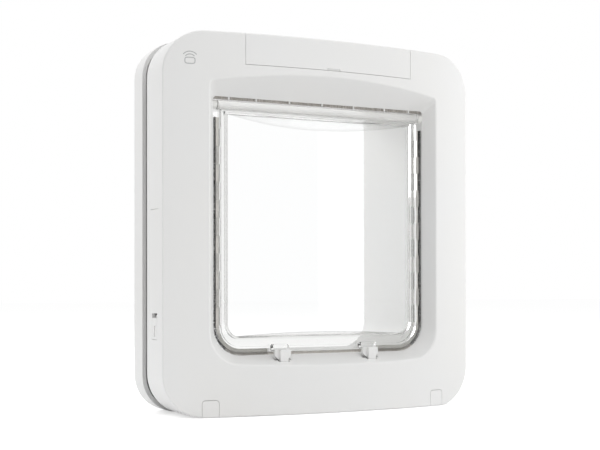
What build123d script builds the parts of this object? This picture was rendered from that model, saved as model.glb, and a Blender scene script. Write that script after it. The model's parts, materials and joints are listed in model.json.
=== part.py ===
from build123d import *
from math import radians, tan
import os

# Frame of the model: X to the right seen from the room, Y towards outdoors, Z up.
# The origin is the middle of the frames, in the plane of the door's inside face.

# Inside unit: outline, bowed face and walls
frame_width = 262.0
frame_height = 282.0
corner_radius = 31.0
side_depth = 34.0
face_bow = 16.5
wall = 2.5
edge_round = 1.2
joint_gap = 0.3
running_gap = 0.06

# Way through both frames, and the bands left round it
side_band = 40.4
bottom_band = 43.5
passage_corner = 22.5
passage_top_corner = 3.0
flare_angle = 31.5
ceiling_angle = 36.0
sill_angle = 20.0
lintel_drop = 3.6
flap_setback = 3.0
collar_depth = 9.0
flare_round = 1.5

# Outside frame and the door between the two
door_gap = 11.0
rim_depth = 19.0
rim_wall = 3.0
rim_corner = 28.0
rim_round = 3.0
outer_rise = 40.0
outer_slope = 27.0
lip_round = 6.0
socket_depth = 5.5

# Flap
flap_margin = 5.5
flap_thickness = 5.0
flap_rim = 6.1
channel_wall = 1.5
channel_depth = 3.2
hinge_drop = 9.5
hinge_depth = 3.0
barrel_radius = 3.5
barrel_gap = 4.1
spigot_radius = 1.8
spigot_reach = 1.3
bush_radius = 3.2
bush_proud = 3.4
window_top_drop = 15.7
window_foot = 2.5
window_bulge = 10.0
pane = 2.0
window_step = 0.8
closure_drop = 7.0
closure_rise = 3.0
tab_pitch = 26.5
tab_length = 13.5
tab_reach = 2.2
tab_thickness = 1.4
brush_thickness = 1.6
brush_top_drop = 19.0
corner_pile_end = 22.1
lip_drop = 3.2
lip_rise = 21.5
foot_pile = 2.4

# Brush over the hinge
carrier_depth = 6.0
pile_depth = 2.4
tick_pitch = 27.8
tick_end = 12.6
tick_width = 1.1
tick_thickness = 0.8

# Catches and what lifts them
catch_spacing = 75.4
catch_travel = 9.5
catch_width = 6.4
catch_head_width = 13.2
catch_head_height = 5.0
catch_neck = 3.0
catch_thickness = 2.8
catch_top_rise = 4.8
catch_gap = 0.7
slot_gap = 0.4
slot_side_gap = 1.4
strike_width = 13.2
strike_depth = 5.1
strike_height = 5.0
strike_top_rise = 8.5
strike_round = 1.0
bar_drop = 11.5
bar_thickness = 4.0
bar_depth = 11.0
bar_setback = 4.1
bar_overhang = 14.6
plunger_radius = 3.0
plunger_floor = 3.0
solenoid_width = 24.0
solenoid_depth = 20.0
solenoid_headroom = 0.5

# Battery bay
cover_width = 141.6
cover_drop = 23.5
cover_back = 6.0
finger_slot = 11.2
finger_slot_height = 1.4
cell_radius = 7.25
cell_length = 49.5
nub_radius = 2.75
nub_length = 1.0
cell_gap = 0.2
tray_wall = 1.5
tray_clear = 6.5
bay_headroom = 1.9
contact_room = 3.5
spring_radius = 4.5
plate_size = 11.0
spring_taper = 5.0
ear_width = 12.5
ear_height = 10.0
ear_rise = 11.5
button_radius = 3.0
button_proud = 2.6
button_travel = 1.0
switch_size = 6.0
switch_height = 4.0

# Electronics
coil_build = 3.0
coil_width = 10.0
coil_end_gap = 1.0
board_inner_gap = 3.6
board_outer_gap = 5.5
board_height = 110.0
board_thickness = 1.6
board_z = 5.0
board_standoff = 3.5
board_post_radius = 3.0
board_inset = 4.0
board_screw_radius = 1.1
board_parts = ((-28, 14, 14, 2), (-4, 16, 9, 6), (16, 10, 7, 4), (34, 18, 6, 7))

# Fixings
screw_radius = 2.0
screw_head_radius = 4.0
screw_head_height = 3.0
screw_end_gap = 1.0
boss_length = 18.0
boss_radius = 4.8
outer_boss_radius = 5.4
fixing_edge = 8.0
lower_fixing_side = 34.2
upper_fixing_gap = 5.2
screw_hole_gap = 0.25
screw_cover_width = 12.7
screw_cover_height = 12.8
screw_cover_depth = 8.0
screw_cover_round = 2.5
case_side = 19.0
case_edge = 23.0
case_screw_radius = 1.5
case_head_radius = 3.0
case_screw_length = 14.0
post_radius = 4.0

# Manual lock in the left side wall
lock_slot_length = 19.5
lock_slot_width = 11.0
lock_rise = 66.2
lock_y = -16.5
lock_travel = 3.0
lock_flange = 2.0
lock_grip_length = 8.0
lock_grip_width = 2.5
lock_grip_depth = 1.0
nick_z = 11.2
nick_length = 17.0
nick_width = 0.6
nick_depth = 0.8

# Places worked out from the sizes above
half_width = frame_width / 2
half_height = frame_height / 2
passage_width = frame_width - 2 * side_band
passage_half = passage_width / 2
cell_stack = tray_wall + 4 * cell_radius + 3 * cell_gap
top_band = wall + bay_headroom + cell_stack + tray_clear
passage_top = half_height - top_band
passage_bottom = bottom_band - half_height
flap_y = -side_depth + flap_setback
flare_reach = face_bow + flap_setback + wall
front_reach = side_depth + face_bow + wall
hinge_y = flap_y + hinge_depth
hinge_z = passage_top - hinge_drop
flap_half = passage_half - flap_margin
flap_bottom = passage_bottom + flap_margin
window_half = flap_half - flap_rim
window_top = passage_top - window_top_drop
window_bottom = flap_bottom + flap_rim + window_foot
foot_half = passage_half - passage_corner - corner_pile_end
lintel_z = passage_top - lintel_drop
outer_y = door_gap + rim_depth + outer_rise
fixing_z = half_height - fixing_edge
lower_fixing_x = half_width - lower_fixing_side
cell_span = 2 * (cell_length + nub_length)
bay_half = cell_span / 2 + contact_room
tray_half = bay_half + tray_wall
upper_fixing_x = tray_half + upper_fixing_gap + boss_radius
case_x = half_width - case_side
case_z = half_height - case_edge
socket_wall = 2 * wall + joint_gap
board_width = side_band - socket_wall - board_inner_gap - board_outer_gap
board_x = half_width - board_outer_gap - board_width / 2
lock_z = lock_rise - half_height
fixings = [
    (-lower_fixing_x, -fixing_z),
    (lower_fixing_x, -fixing_z),
    (-upper_fixing_x, fixing_z),
    (upper_fixing_x, fixing_z),
]

os.makedirs("parts", exist_ok=True)


def to_room(y):
    """Sketch plane at depth y: local x is X, local y is Z, and extrusions run towards the room."""
    return Plane.XZ.offset(-y)


def to_outside(y):
    """Sketch plane at depth y whose local y is Z and whose extrusions run outdoors."""
    return Plane(origin=(0, y, 0), x_dir=(-1, 0, 0), z_dir=(0, 1, 0))


def passage(grow):
    """Outline of the way through, grown all round: large lower corners and tight upper ones."""
    with BuildSketch() as outline:
        with Locations((0, (passage_top + passage_bottom) / 2)):
            Rectangle(passage_width + 2 * grow, passage_top - passage_bottom + 2 * grow)
        fillet(outline.vertices().group_by(Axis.Y)[0], passage_corner + grow)
        fillet(outline.vertices().group_by(Axis.Y)[-1], passage_top_corner + grow)
    return outline.sketch


def throat():
    """Outline of the way through in the flap's plane, where a lintel hides the brush over the hinge."""
    with BuildSketch() as outline:
        with Locations((0, (lintel_z + passage_bottom) / 2)):
            Rectangle(passage_width, lintel_z - passage_bottom)
        fillet(outline.vertices().group_by(Axis.Y)[0], passage_corner)
        fillet(outline.vertices().group_by(Axis.Y)[-1], passage_top_corner)
    return outline.sketch


def flare_mouth(grow):
    """Outline of the flare at its widest, grown all round: steep at the ceiling and shallow at the sill."""
    half = passage_half + flare_reach * tan(radians(flare_angle)) + grow
    top = passage_top + flare_reach * tan(radians(ceiling_angle)) + grow
    bottom = passage_bottom - flare_reach * tan(radians(sill_angle)) - grow
    with BuildSketch() as outline:
        with Locations((0, (top + bottom) / 2)):
            Rectangle(2 * half, top - bottom)
        fillet(outline.vertices().group_by(Axis.Y)[0], passage_corner + grow)
        fillet(outline.vertices().group_by(Axis.Y)[-1], passage_top_corner + grow)
    return outline.sketch


def flap_outline(inset, top, foot=0):
    """Outline of the flap inset from its edge and raised at the foot: square above, round below."""
    bottom = flap_bottom + inset + foot
    with BuildSketch() as outline:
        with Locations((0, (top + bottom) / 2)):
            Rectangle(2 * (flap_half - inset), top - bottom)
        fillet(outline.vertices().group_by(Axis.Y)[0], passage_corner - flap_margin - inset)
    return outline.sketch


def bowed_body(inset):
    """Solid of the inside unit, inset all round: the outline cut off by one large bow across the front."""
    half = half_width - inset
    bow_radius = (half**2 + face_bow**2) / (2 * face_bow)
    bow_y = -side_depth + inset - face_bow + bow_radius
    with BuildPart() as body:
        with BuildSketch(to_room(0)):
            RectangleRounded(2 * half, frame_height - 2 * inset, corner_radius - inset)
        extrude(amount=front_reach)
        with BuildSketch(Plane.XY.offset(-frame_height)):
            with Locations((0, bow_y)):
                Circle(bow_radius)
        extrude(amount=2 * frame_height, mode=Mode.INTERSECT)
    return body.part


def window_bulge_body(front, back, grow, outline):
    """Solid from a front plane to one face of the bulged window: bowed in plan, sloping at head and foot."""
    edge_y = flap_y + back
    top = window_top + grow
    bottom = window_bottom - grow
    chord = window_half + pane
    with BuildPart() as body:
        with BuildSketch(Plane.XY.offset(flap_bottom)):
            with BuildLine():
                Polyline((chord, edge_y), (chord, front), (-chord, front), (-chord, edge_y))
                ThreePointArc((-chord, edge_y), (0, edge_y + window_bulge), (chord, edge_y))
            make_face()
        extrude(amount=hinge_z - flap_bottom)
        with BuildSketch(Plane.YZ.offset(-flap_half)):
            with BuildLine():
                Polyline(
                    (front, top),
                    (edge_y, top),
                    (edge_y + window_bulge, top - closure_drop),
                    (edge_y + window_bulge, bottom + closure_rise),
                    (edge_y, bottom),
                    (front, bottom),
                    close=True,
                )
            make_face()
        extrude(amount=2 * flap_half, mode=Mode.INTERSECT)
        with BuildSketch(to_outside(front)):
            add(outline)
        extrude(amount=flap_thickness + 2 * window_bulge, mode=Mode.INTERSECT)
    return body.part


passage_inner = passage(0)
passage_outer = passage(wall)
socket_inner = passage(wall + joint_gap)
socket_outer = passage(socket_wall)
coil_outer = passage(wall + joint_gap + coil_build)

# Solid and hollow of the inside unit, shared by the housing and the covers set into it
with BuildPart() as rounded_body:
    add(bowed_body(0))
    fillet(rounded_body.faces().sort_by(Axis.Y)[0].edges(), edge_round)
housing_solid = rounded_body.part
housing_cavity = bowed_body(wall)

# Flared surround round the flap, with the straight collar that carries the hinge
with BuildPart() as surround:
    with BuildSketch(to_room(flap_y)):
        add(passage_outer)
    with BuildSketch(to_room(flap_y - flare_reach)):
        add(flare_mouth(wall))
    loft(ruled=True)
    with BuildSketch(to_outside(flap_y)):
        add(passage_outer)
    extrude(amount=collar_depth)
    add(housing_solid, mode=Mode.INTERSECT)

# Recess in front of the flap: from the throat under the lintel out to the flared mouth
with BuildPart() as recess:
    with BuildSketch(to_room(flap_y)):
        add(throat())
    with BuildSketch(to_room(flap_y - flare_reach)):
        add(flare_mouth(0))
    loft(ruled=True)

# Posts inside the housing that take the case screws
with BuildPart() as case_posts:
    with BuildSketch(to_room(-wall - joint_gap)):
        with GridLocations(2 * case_x, 2 * case_z, 2, 2):
            Circle(post_radius)
    extrude(amount=front_reach)
    add(housing_solid, mode=Mode.INTERSECT)

# Front housing: bowed face, side walls, flared surround and its openings
strike_front = flap_y - strike_depth
head_back = strike_front - catch_gap
stem_back = head_back - catch_thickness
head_y = head_back - catch_thickness / 2
stem_y = stem_back - catch_thickness / 2
with BuildPart() as front_housing:
    add(housing_solid)
    add(housing_cavity, mode=Mode.SUBTRACT)
    add(surround.part)
    add(case_posts.part)
    add(recess.part, mode=Mode.SUBTRACT)
    with BuildSketch(to_outside(flap_y)):
        add(passage_inner)
    extrude(amount=collar_depth, mode=Mode.SUBTRACT)
    bowed_face = front_housing.faces().filter_by(GeomType.CYLINDER).sort_by(Axis.Y)[0]
    fillet(bowed_face.inner_wires()[0].edges(), flare_round)
    # battery bay
    with BuildSketch(to_room(-cover_back)):
        with Locations((0, half_height)):
            Rectangle(cover_width, 2 * cover_drop)
    extrude(amount=front_reach, mode=Mode.SUBTRACT)
    # pockets of the screw covers
    with BuildSketch(to_room(-side_depth + screw_cover_depth)) as pockets:
        for side in (-1, 1):
            with Locations((side * lower_fixing_x, -half_height)):
                Rectangle(screw_cover_width, 2 * screw_cover_height)
        fillet(pockets.vertices().group_by(Axis.Y)[-1], screw_cover_round)
    extrude(amount=front_reach, mode=Mode.SUBTRACT)
    # slots of the catches in the sill
    with BuildSketch(Plane.XY.offset(passage_bottom + catch_top_rise)):
        with GridLocations(catch_spacing, 1, 2, 1):
            with Locations((0, head_y)):
                Rectangle(catch_head_width + 2 * slot_gap, catch_thickness + 2 * slot_gap)
            with Locations((0, stem_y)):
                Rectangle(catch_width + 2 * slot_side_gap, catch_thickness + 2 * slot_gap)
    extrude(amount=-catch_top_rise - bar_drop, mode=Mode.SUBTRACT)
    # seats of the hinge bushes
    with BuildSketch(Plane.YZ):
        with Locations((hinge_y, hinge_z)):
            Circle(bush_radius)
    extrude(amount=passage_half + wall + joint_gap, both=True, mode=Mode.SUBTRACT)
    # slot of the manual lock
    with BuildSketch(Plane.YZ.offset(-half_width)):
        with Locations((lock_y, lock_z)):
            Rectangle(lock_slot_width, lock_slot_length)
    extrude(amount=wall, mode=Mode.SUBTRACT)
    # short parting nick in the same wall
    with BuildSketch(Plane.YZ.offset(-half_width)):
        with Locations((lock_y, nick_z)):
            Rectangle(nick_length, nick_width)
    extrude(amount=nick_depth, mode=Mode.SUBTRACT)
    # holes of the case screws
    with BuildSketch(to_room(-wall - joint_gap)):
        with GridLocations(2 * case_x, 2 * case_z, 2, 2):
            Circle(case_screw_radius + running_gap)
    extrude(amount=case_screw_length, mode=Mode.SUBTRACT)
front_housing.part.label = "front_housing"
export_step(front_housing.part, "parts/front_housing.step")

# Battery cover: an L of the front and top walls with a finger slot in its lower edge
with BuildPart() as battery_cover:
    add(housing_solid)
    add(housing_cavity, mode=Mode.SUBTRACT)
    with BuildSketch(to_room(-cover_back - joint_gap)):
        with Locations((0, half_height)):
            Rectangle(cover_width - 2 * joint_gap, 2 * (cover_drop - joint_gap))
        with Locations((0, half_height - cover_drop + joint_gap)):
            Rectangle(finger_slot, 2 * finger_slot_height, mode=Mode.SUBTRACT)
    extrude(amount=front_reach, mode=Mode.INTERSECT)
battery_cover.part.label = "battery_cover"
export_step(battery_cover.part, "parts/battery_cover.step")

# Screw covers: small L pieces of the front and lower walls
for side, name in ((-1, "left"), (1, "right")):
    with BuildPart() as screw_cover:
        add(housing_solid)
        add(housing_cavity, mode=Mode.SUBTRACT)
        with BuildSketch(to_room(-side_depth + screw_cover_depth - joint_gap)) as face:
            with Locations((side * lower_fixing_x, -half_height)):
                Rectangle(screw_cover_width - 2 * joint_gap, 2 * (screw_cover_height - joint_gap))
            fillet(face.vertices().group_by(Axis.Y)[-1], screw_cover_round - joint_gap)
        extrude(amount=front_reach, mode=Mode.INTERSECT)
    screw_cover.part.label = f"screw_cover_{name}"
    export_step(screw_cover.part, f"parts/screw_cover_{name}.step")

# Back cover: plate against the door, the inner tunnel and the socket for the outside tunnel
plate_inset = wall + joint_gap
plate_width = frame_width - 2 * plate_inset
plate_height = frame_height - 2 * plate_inset
tube_front = flap_y + collar_depth + joint_gap
board_corners = [
    (board_x + sx * (board_width / 2 - board_inset), board_z + sz * (board_height / 2 - board_inset))
    for sx in (-1, 1)
    for sz in (-1, 1)
]
with BuildPart() as back_cover:
    with BuildSketch(to_room(0)):
        RectangleRounded(plate_width, plate_height, corner_radius - plate_inset)
        add(socket_inner, mode=Mode.SUBTRACT)
    extrude(amount=wall)
    with BuildSketch(to_room(0)):
        add(socket_outer)
        add(socket_inner, mode=Mode.SUBTRACT)
    extrude(amount=socket_depth)
    with BuildSketch(to_room(-socket_depth)):
        add(socket_outer)
        add(passage_inner, mode=Mode.SUBTRACT)
    extrude(amount=wall)
    with BuildSketch(to_room(-socket_depth)):
        add(passage_outer)
        add(passage_inner, mode=Mode.SUBTRACT)
    extrude(amount=-socket_depth - tube_front)
    # bosses under the heads of the fixing screws
    with BuildSketch(to_room(0)):
        with Locations(fixings):
            Circle(boss_radius)
    extrude(amount=boss_length)
    with BuildSketch(to_room(0)):
        with Locations(fixings):
            Circle(screw_radius + screw_hole_gap)
    extrude(amount=boss_length, mode=Mode.SUBTRACT)
    # posts of the circuit board
    with BuildSketch(to_room(-wall)):
        with Locations(board_corners):
            Circle(board_post_radius)
            Circle(board_screw_radius + running_gap, mode=Mode.SUBTRACT)
    extrude(amount=board_standoff)
    # countersunk holes of the case screws
    with Locations(to_outside(0)):
        with GridLocations(2 * case_x, 2 * case_z, 2, 2):
            CounterSinkHole(case_screw_radius + running_gap, case_head_radius + running_gap, depth=2 * wall)
back_cover.part.label = "back_cover"
export_step(back_cover.part, "parts/back_cover.step")

# Outside frame: rim, sloping surround and the tunnel that lines the door
hollow_corner = rim_corner - rim_wall
with BuildPart() as outer_frame:
    with BuildSketch(to_outside(door_gap)):
        RectangleRounded(frame_width, frame_height, rim_corner)
    extrude(amount=rim_depth)
    with BuildSketch(to_outside(door_gap + rim_depth)):
        RectangleRounded(frame_width, frame_height, rim_corner)
    extrude(amount=outer_rise, taper=outer_slope)
    fillet(outer_frame.faces().sort_by(Axis.Y)[-1].edges(), rim_round)
    with BuildSketch(to_outside(door_gap)):
        RectangleRounded(frame_width - 2 * rim_wall, frame_height - 2 * rim_wall, hollow_corner)
    extrude(amount=rim_depth, mode=Mode.SUBTRACT)
    with BuildSketch(to_outside(door_gap + rim_depth)):
        RectangleRounded(frame_width - 2 * rim_wall, frame_height - 2 * rim_wall, hollow_corner)
    extrude(amount=outer_rise - rim_wall, taper=outer_slope, mode=Mode.SUBTRACT)
    with BuildSketch(to_outside(-socket_depth + joint_gap)):
        add(passage_outer)
    extrude(amount=outer_y - rim_wall + socket_depth)
    with BuildSketch(to_outside(-socket_depth)):
        add(passage_inner)
    extrude(amount=outer_y + 2 * socket_depth, mode=Mode.SUBTRACT)
    fillet(outer_frame.faces().sort_by(Axis.Y)[-1].inner_wires()[0].edges(), lip_round)
    with BuildSketch(to_outside(door_gap)):
        with Locations([(-x, z) for x, z in fixings]):
            Circle(outer_boss_radius)
    extrude(amount=rim_depth)
    with BuildSketch(to_outside(door_gap)):
        with Locations([(-x, z) for x, z in fixings]):
            Circle(screw_radius + running_gap)
    extrude(amount=rim_depth, mode=Mode.SUBTRACT)
outer_frame.part.label = "outer_frame"
export_step(outer_frame.part, "parts/outer_frame.step")

# Flap: channelled rim, bulged window, hinge barrel with spigots, and castellated edges
flap_core = flap_outline(0, hinge_z)
window_outline = flap_outline(flap_rim, window_top, window_foot)
channel_outer = flap_outline(channel_wall, hinge_z - barrel_radius / 2)
channel_inner = flap_outline(flap_rim - channel_wall, window_top + channel_wall, window_foot)
bulge_outline = flap_outline(flap_rim - joint_gap, window_top + joint_gap, window_foot)
bulge_skin = window_bulge_body(flap_y + window_step / 2, window_step + pane, pane / 2, bulge_outline)
bulge_hollow = window_bulge_body(flap_y - flap_thickness, window_step, 0, window_outline)
tab_middle = (window_top + window_bottom - window_foot) / 2
tab_count = int((window_top - window_bottom - tab_length) // tab_pitch) + 1
barrel_half = passage_half - barrel_gap
with BuildPart() as flap:
    with BuildSketch(to_outside(flap_y)):
        add(flap_core)
        add(window_outline, mode=Mode.SUBTRACT)
    extrude(amount=flap_thickness)
    with BuildSketch(to_outside(flap_y + flap_thickness - channel_depth)):
        add(channel_outer)
        add(channel_inner, mode=Mode.SUBTRACT)
    extrude(amount=channel_depth, mode=Mode.SUBTRACT)
    add(bulge_skin)
    add(bulge_hollow, mode=Mode.SUBTRACT)
    with BuildSketch(Plane.YZ):
        with Locations((hinge_y, hinge_z)):
            Circle(barrel_radius)
    extrude(amount=barrel_half, both=True)
    with BuildSketch(Plane.YZ):
        with Locations((hinge_y, hinge_z)):
            Circle(spigot_radius)
    extrude(amount=passage_half + spigot_reach, both=True)
    # tabs that hold the brushes, by turns on the front and on the back
    with BuildSketch(to_outside(flap_y)):
        with Locations((0, tab_middle)):
            with GridLocations(2 * flap_half, tab_pitch, 2, tab_count - 1):
                Rectangle(2 * tab_reach, tab_length)
    extrude(amount=tab_thickness)
    with BuildSketch(to_outside(flap_y + flap_thickness - tab_thickness)):
        with Locations((0, tab_middle)):
            with GridLocations(2 * flap_half, tab_pitch, 2, tab_count):
                Rectangle(2 * tab_reach, tab_length)
    extrude(amount=tab_thickness)
    # strike blocks that the catches hold
    with BuildSketch(to_room(flap_y + tab_thickness)):
        with Locations((0, passage_bottom + strike_top_rise - strike_height / 2)):
            with GridLocations(catch_spacing, 1, 2, 1):
                RectangleRounded(strike_width, strike_height, strike_round)
    extrude(amount=strike_depth + tab_thickness)
    # lip along the foot and round its corners
    with BuildSketch(to_outside(flap_y)):
        add(flap_outline(-lip_drop, hinge_z))
        add(flap_core, mode=Mode.SUBTRACT)
        with Locations((0, passage_bottom + lip_rise - frame_height / 2)):
            Rectangle(frame_width, frame_height, mode=Mode.INTERSECT)
    extrude(amount=tab_thickness)
flap.part.label = "flap"
export_step(flap.part, "parts/flap.step")

# Brush strips along the flap's sides and lower corners
brush_reach = flap_outline(joint_gap - flap_margin, passage_top - brush_top_drop)
for side, name in ((-1, "left"), (1, "right")):
    with BuildPart() as flap_brush:
        with BuildSketch(to_room(flap_y + flap_thickness / 2 + brush_thickness / 2)):
            add(brush_reach)
            add(flap_core, mode=Mode.SUBTRACT)
            with Locations((side * (foot_half - frame_width), 0)):
                Rectangle(2 * frame_width, 2 * frame_height, mode=Mode.SUBTRACT)
        extrude(amount=brush_thickness)
    flap_brush.part.label = f"flap_brush_{name}"
    export_step(flap_brush.part, f"parts/flap_brush_{name}.step")

# Brush strip along the foot, behind the lip
with BuildPart() as flap_brush_foot:
    with BuildSketch(to_room(flap_y + flap_thickness / 2 + brush_thickness / 2)):
        with Locations((0, passage_bottom + joint_gap + foot_pile / 2)):
            Rectangle(2 * (foot_half - joint_gap), foot_pile)
    extrude(amount=brush_thickness)
flap_brush_foot.part.label = "flap_brush_foot"
export_step(flap_brush_foot.part, "parts/flap_brush_foot.step")

# Hinge bushes: blind cups in the collar that the spigots turn in
for side, name in ((-1, "left"), (1, "right")):
    with BuildPart() as hinge_bush:
        with BuildSketch(Plane.YZ.offset(side * (passage_half - bush_proud))):
            with Locations((hinge_y, hinge_z)):
                Circle(bush_radius)
        extrude(amount=side * (bush_proud + wall))
        with BuildSketch(Plane.YZ.offset(side * (passage_half - bush_proud))):
            with Locations((hinge_y, hinge_z)):
                Circle(spigot_radius + running_gap)
        extrude(amount=side * (bush_proud + spigot_reach + joint_gap), mode=Mode.SUBTRACT)
    hinge_bush.part.label = f"hinge_bush_{name}"
    export_step(hinge_bush.part, f"parts/hinge_bush_{name}.step")

# Carrier of the brush over the hinge, with its row of tabs
carrier_length = passage_width - 2 * joint_gap
end_tick = passage_half - tick_end
tick_count = 2 * int((end_tick - tick_width) // tick_pitch) + 1
pile_bottom = hinge_z + barrel_radius + joint_gap
with BuildPart() as brush_carrier:
    with BuildSketch(Plane.XY.offset(lintel_z)):
        with Locations((0, flap_y + carrier_depth / 2)):
            Rectangle(carrier_length, carrier_depth)
    extrude(amount=lintel_drop)
    fillet(brush_carrier.edges().filter_by(Axis.Y).group_by(Axis.Z)[-1], passage_top_corner)
    with BuildSketch(to_outside(flap_y)):
        with Locations((0, (lintel_z + pile_bottom) / 2)):
            with GridLocations(tick_pitch, 1, tick_count, 1):
                Rectangle(tick_width, lintel_z - pile_bottom)
            with GridLocations(2 * end_tick, 1, 2, 1):
                Rectangle(tick_width, lintel_z - pile_bottom)
    extrude(amount=tick_thickness)
brush_carrier.part.label = "brush_carrier"
export_step(brush_carrier.part, "parts/brush_carrier.step")

# Dark pile of that brush, hanging from the carrier behind the tabs
with BuildPart() as hinge_brush:
    with BuildSketch(Plane.XY.offset(pile_bottom)):
        with Locations((0, flap_y + tick_thickness + pile_depth / 2)):
            Rectangle(carrier_length, pile_depth)
    extrude(amount=lintel_z - pile_bottom)
hinge_brush.part.label = "hinge_brush"
export_step(hinge_brush.part, "parts/hinge_brush.step")

# Catches: a stem that comes up through the sill, with a wider head behind it that faces the strike block
bar_top = passage_bottom - bar_drop
catch_top = passage_bottom + catch_top_rise
head_bottom = catch_top - catch_head_height
for side, name in ((-1, "left"), (1, "right")):
    catch_x = side * catch_spacing / 2
    with BuildPart() as catch:
        with BuildSketch(to_room(head_back)):
            with Locations((catch_x, 0)):
                Polygon(
                    (catch_width / 2, head_bottom - catch_neck),
                    (catch_head_width / 2, head_bottom),
                    (catch_head_width / 2, catch_top),
                    (-catch_head_width / 2, catch_top),
                    (-catch_head_width / 2, head_bottom),
                    (-catch_width / 2, head_bottom - catch_neck),
                    align=None,
                )
        extrude(amount=catch_thickness)
        with BuildSketch(to_room(stem_back)):
            with Locations((catch_x, (catch_top + bar_top) / 2)):
                Rectangle(catch_width, catch_top - bar_top)
        extrude(amount=catch_thickness)
    catch.part.label = f"catch_{name}"
    export_step(catch.part, f"parts/catch_{name}.step")

# Latch bar that carries both catches
bar_length = catch_spacing + bar_overhang
bar_y = stem_y + bar_setback
with BuildPart() as latch_bar:
    with BuildSketch(Plane.XY.offset(bar_top)):
        with Locations((0, bar_y)):
            RectangleRounded(bar_length, bar_depth, catch_thickness)
    extrude(amount=-bar_thickness)
latch_bar.part.label = "latch_bar"
export_step(latch_bar.part, "parts/latch_bar.step")

# Steel plunger under the bar
bar_bottom = bar_top - bar_thickness
solenoid_bottom = -half_height + wall
plunger_length = bar_bottom - catch_travel - plunger_floor - solenoid_bottom
with BuildPart() as latch_plunger:
    with BuildSketch(Plane.XY.offset(bar_bottom)):
        with Locations((0, bar_y)):
            Circle(plunger_radius)
    extrude(amount=-plunger_length)
latch_plunger.part.label = "latch_plunger"
export_step(latch_plunger.part, "parts/latch_plunger.step")

# Solenoid on the housing's floor, bored for the plunger
solenoid_top = bar_bottom - catch_travel - solenoid_headroom
bore_bottom = solenoid_bottom + plunger_floor - solenoid_headroom
with BuildPart() as latch_solenoid:
    with BuildSketch(Plane.XY.offset(solenoid_bottom)):
        with Locations((0, bar_y)):
            Rectangle(solenoid_width, solenoid_depth)
    extrude(amount=solenoid_top - solenoid_bottom)
    with BuildSketch(Plane.XY.offset(solenoid_top)):
        with Locations((0, bar_y)):
            Circle(plunger_radius + running_gap)
    extrude(amount=bore_bottom - solenoid_top, mode=Mode.SUBTRACT)
latch_solenoid.part.label = "latch_solenoid"
export_step(latch_solenoid.part, "parts/latch_solenoid.step")

# Manual lock: a thumb slide in the side wall with a flange behind it
lock_length = lock_slot_length - lock_travel - 2 * joint_gap
lock_rest_z = lock_z - (lock_slot_length - lock_length) / 2 + joint_gap
with BuildPart() as lock_slider:
    with BuildSketch(Plane.YZ.offset(-half_width)):
        with Locations((lock_y, lock_rest_z)):
            Rectangle(lock_slot_width - 2 * joint_gap, lock_length)
    extrude(amount=wall + joint_gap)
    with BuildSketch(Plane.YZ.offset(-half_width + wall + joint_gap)):
        with Locations((lock_y, lock_rest_z)):
            Rectangle(lock_slot_width + 2 * lock_flange, lock_length + 2 * lock_flange)
    extrude(amount=channel_wall)
    with BuildSketch(Plane.YZ.offset(-half_width)):
        with Locations((lock_y, lock_rest_z - lock_grip_length / 4)):
            Rectangle(lock_grip_width, lock_grip_length)
    extrude(amount=lock_grip_depth, mode=Mode.SUBTRACT)
lock_slider.part.label = "lock_slider"
export_step(lock_slider.part, "parts/lock_slider.step")

# Battery tray: two cells above two, open to the top, with an ear for the memory button
tray_bottom = passage_top + tray_clear
row_pitch = 2 * (cell_radius + cell_gap)
row_height = tray_bottom + tray_wall + cell_radius + cell_gap
tray_top = row_height + row_pitch
tray_back = -wall
bay_depth = 2 * (cell_radius + cell_gap)
tray_front = tray_back - bay_depth - 2 * tray_wall
cell_y = tray_back - tray_wall - bay_depth / 2
ear_x = tray_half + ear_width / 2
ear_z = tray_bottom + ear_rise + ear_height / 2
button_x = ear_x
with BuildPart() as battery_tray:
    with BuildSketch(to_room(tray_back)):
        with Locations((0, (tray_bottom + tray_top) / 2)):
            Rectangle(2 * tray_half, tray_top - tray_bottom)
    extrude(amount=tray_back - tray_front)
    with BuildSketch(to_room(tray_back - tray_wall)):
        with Locations((0, (tray_bottom + tray_wall + tray_top + cell_radius) / 2)):
            Rectangle(2 * bay_half, tray_top + cell_radius - tray_bottom - tray_wall)
    extrude(amount=bay_depth, mode=Mode.SUBTRACT)
    with BuildSketch(to_room(tray_front + tray_wall)):
        with Locations((ear_x - tray_wall, ear_z)):
            Rectangle(ear_width, ear_height)
        with Locations((button_x, ear_z)):
            Circle(button_radius + running_gap, mode=Mode.SUBTRACT)
    extrude(amount=tray_wall)
battery_tray.part.label = "battery_tray"
export_step(battery_tray.part, "parts/battery_tray.step")

# Four cells, end to end in two rows
with BuildPart() as battery_cells:
    with BuildSketch(Plane.YZ.offset(-cell_span / 2)):
        with Locations((cell_y, row_height), (cell_y, row_height + row_pitch)):
            Circle(cell_radius)
    extrude(amount=cell_length)
    with BuildSketch(Plane.YZ.offset(-cell_span / 2 + cell_length)):
        with Locations((cell_y, row_height), (cell_y, row_height + row_pitch)):
            Circle(nub_radius)
    extrude(amount=nub_length - running_gap)
    with BuildSketch(Plane.YZ.offset(0)):
        with Locations((cell_y, row_height), (cell_y, row_height + row_pitch)):
            Circle(cell_radius)
    extrude(amount=cell_length)
    with BuildSketch(Plane.YZ.offset(cell_length)):
        with Locations((cell_y, row_height), (cell_y, row_height + row_pitch)):
            Circle(nub_radius)
    extrude(amount=nub_length - running_gap)
battery_cells.part.label = "battery_cells"
export_step(battery_cells.part, "parts/battery_cells.step")

# Contact plates on the right end wall and spring cups on the left one
with BuildPart() as contact_plates:
    with BuildSketch(Plane.YZ.offset(cell_span / 2)):
        with Locations((cell_y, row_height), (cell_y, row_height + row_pitch)):
            Rectangle(plate_size, plate_size)
    extrude(amount=contact_room)
contact_plates.part.label = "contact_plates"
export_step(contact_plates.part, "parts/contact_plates.step")

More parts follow.
